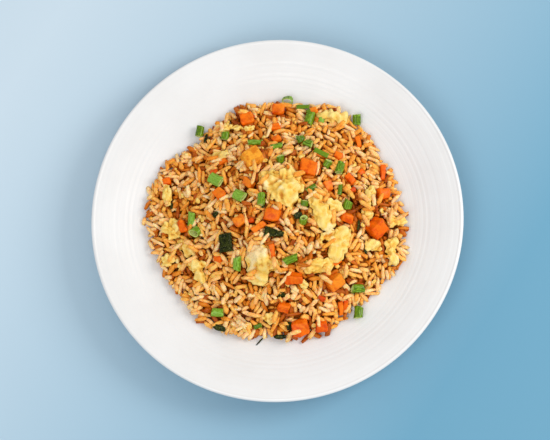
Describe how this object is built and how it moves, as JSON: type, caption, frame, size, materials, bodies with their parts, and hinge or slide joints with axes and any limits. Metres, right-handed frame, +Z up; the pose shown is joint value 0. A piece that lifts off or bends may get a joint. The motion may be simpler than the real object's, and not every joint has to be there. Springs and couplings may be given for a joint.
{
  "type": "plate of fried rice",
  "caption": "Round shallow plate with a fine-turned glaze, carrying a low uneven heap of fried rice with soft egg, carrot cubes, scallion slices and dark leaf.",
  "frame": {"origin": "under the middle of the plate, on the surface it stands on", "axes": "+Z up; +Y away from the diner and +X to the diner's right, as the dish is shown"},
  "size_m": [0.27, 0.27, 0.0548],
  "materials": {
    "plate_glaze": "satin white glaze with fine turned rings",
    "rice": "moist golden brown grains",
    "egg": "soft pale yellow curd",
    "carrot": "moist orange cut faces",
    "scallion": "bright green stalk, paler inside",
    "leaf": "wilted dark green"
  },
  "bodies": {
    "root": {"plate": "plate_glaze", "rice_heap": "rice", "egg_curd_01": "egg", "egg_curd_02": "egg", "egg_curd_03": "egg", "egg_curd_04": "egg", "egg_curd_05": "egg", "egg_curd_06": "egg", "egg_curd_07": "egg", "egg_curd_08": "egg", "egg_curd_09": "egg", "egg_curd_10": "egg", "egg_curd_11": "egg", "egg_curd_12": "egg", "egg_curd_13": "egg", "carrot_dice_01": "carrot", "carrot_dice_02": "carrot", "carrot_dice_03": "carrot", "carrot_dice_04": "carrot", "carrot_dice_05": "carrot", "carrot_dice_06": "carrot", "carrot_dice_07": "carrot", "carrot_dice_08": "carrot", "carrot_dice_09": "carrot", "carrot_dice_10": "carrot", "carrot_dice_11": "carrot", "carrot_dice_12": "carrot", "carrot_dice_13": "carrot", "carrot_dice_14": "carrot", "carrot_dice_15": "carrot", "carrot_dice_16": "carrot", "carrot_dice_17": "carrot", "scallion_01": "scallion", "scallion_02": "scallion", "scallion_03": "scallion", "scallion_04": "scallion", "scallion_05": "scallion", "scallion_06": "scallion", "scallion_07": "scallion", "scallion_08": "scallion", "scallion_09": "scallion", "scallion_10": "scallion", "scallion_11": "scallion", "scallion_12": "scallion", "scallion_13": "scallion", "scallion_14": "scallion", "scallion_15": "scallion", "scallion_16": "scallion", "scallion_17": "scallion", "scallion_18": "scallion", "scallion_19": "scallion", "scallion_20": "scallion", "scallion_21": "scallion", "scallion_22": "scallion", "scallion_23": "scallion", "scallion_24": "scallion", "scallion_25": "scallion", "dark_leaf_01": "leaf", "dark_leaf_02": "leaf"}
  },
  "joints": []
}
